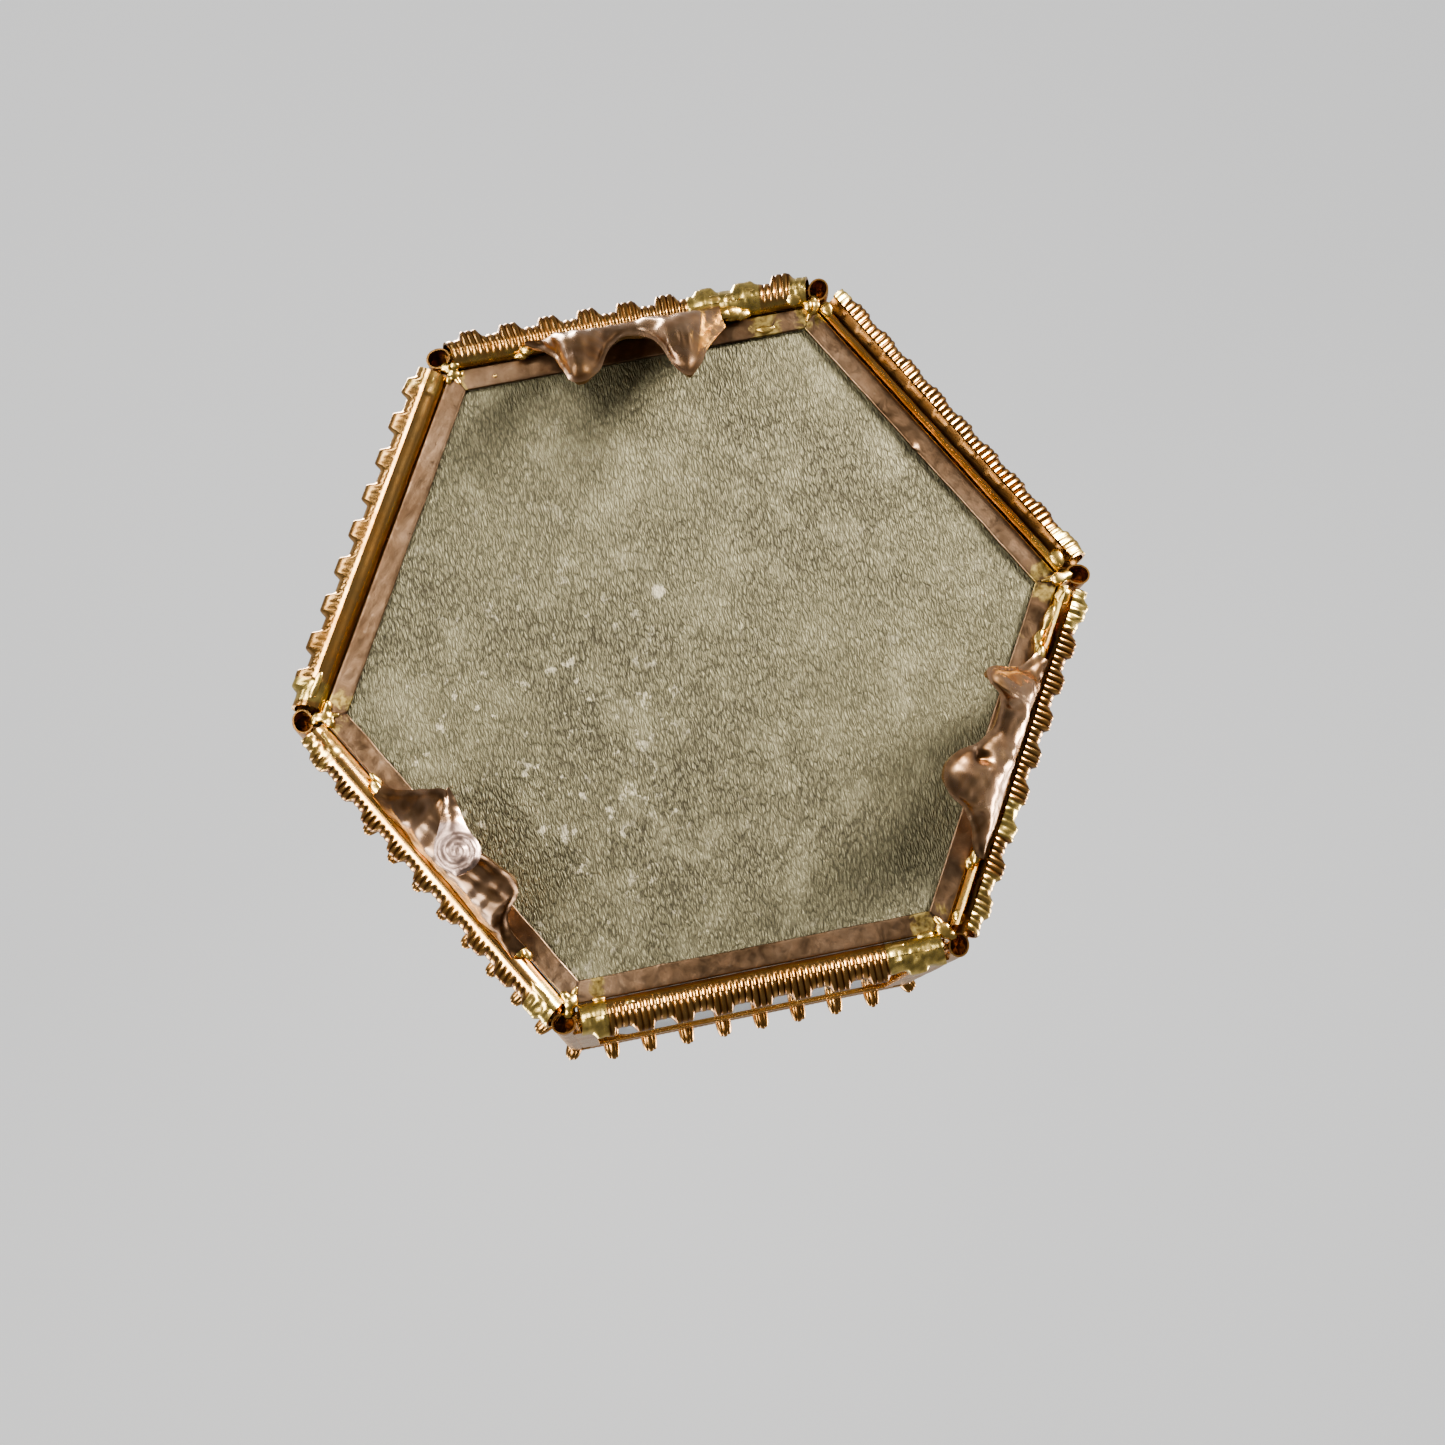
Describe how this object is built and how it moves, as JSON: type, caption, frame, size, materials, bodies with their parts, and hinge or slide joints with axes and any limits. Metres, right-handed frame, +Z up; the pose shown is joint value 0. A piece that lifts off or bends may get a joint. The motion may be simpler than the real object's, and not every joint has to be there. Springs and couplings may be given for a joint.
{
  "type": "hexagonal glass display casket",
  "caption": "Hexagonal gilt brass and bevelled glass display casket on three stamped feet, with a hinged glass lid and a gold leatherette floor panel.",
  "frame": {"origin": "on the table plane, under the middle of the box", "axes": "+Z up through the lid, +Y towards the hinge side, -Y towards the opening side"},
  "size_m": [0.0838, 0.0748, 0.067],
  "materials": {
    "gilt_brass": "polished gilt, worn and tarnished in the recesses",
    "copper_strip": "matte copper-brown",
    "rose_brass": "polished pink-gold stamping",
    "solder": "bright uneven solder",
    "gold_paper": "grained leatherette paper, antique gold",
    "board": "raw card board",
    "velvet": "short pile velvet",
    "glass": "clear bevelled"
  },
  "bodies": {
    "root": {"floor_paper": "gold_paper", "floor_board": "board", "floor_lip_right_back": "copper_strip", "base_rail_right_back": "gilt_brass", "side_glass_right_back": "glass", "rim_rail_right_back": "gilt_brass", "floor_lip_back": "copper_strip", "base_rail_back": "gilt_brass", "side_glass_back": "glass", "rim_rail_back": "gilt_brass", "floor_lip_left_back": "copper_strip", "base_rail_left_back": "gilt_brass", "side_glass_left_back": "glass", "rim_rail_left_back": "gilt_brass", "floor_lip_left_front": "copper_strip", "base_rail_left_front": "gilt_brass", "side_glass_left_front": "glass", "rim_rail_left_front": "gilt_brass", "floor_lip_front": "copper_strip", "base_rail_front": "gilt_brass", "side_glass_front": "glass", "rim_rail_front": "gilt_brass", "floor_lip_right_front": "copper_strip", "base_rail_right_front": "gilt_brass", "side_glass_right_front": "glass", "rim_rail_right_front": "gilt_brass", "corner_post_right": "gilt_brass", "corner_post_back_right": "gilt_brass", "corner_post_back_left": "gilt_brass", "corner_post_left": "gilt_brass", "corner_post_front_left": "gilt_brass", "corner_post_front_right": "gilt_brass", "foot_back": "rose_brass", "foot_left_front": "rose_brass", "foot_right_front": "rose_brass", "corner_solder": "solder", "foot_solder": "solder", "velvet_pad": "velvet", "hinge_leaf_body": "gilt_brass", "hinge_pin": "gilt_brass"},
    "lid": {"lid_rail_right_back": "gilt_brass", "lid_rail_back": "gilt_brass", "lid_rail_left_back": "gilt_brass", "lid_rail_left_front": "gilt_brass", "lid_rail_front": "gilt_brass", "lid_rail_right_front": "gilt_brass", "lid_glass": "glass", "lid_corner_picots": "gilt_brass", "hinge_leaf_lid": "gilt_brass", "lid_tab": "gilt_brass"}
  },
  "joints": [
    {"name": "lid_hinge", "type": "hinge", "parent": "root", "child": "lid", "pos_m": [0, 0.0365, 0.06272], "axis": [-1, 0, 0], "range_deg": [0, 100]}
  ]
}
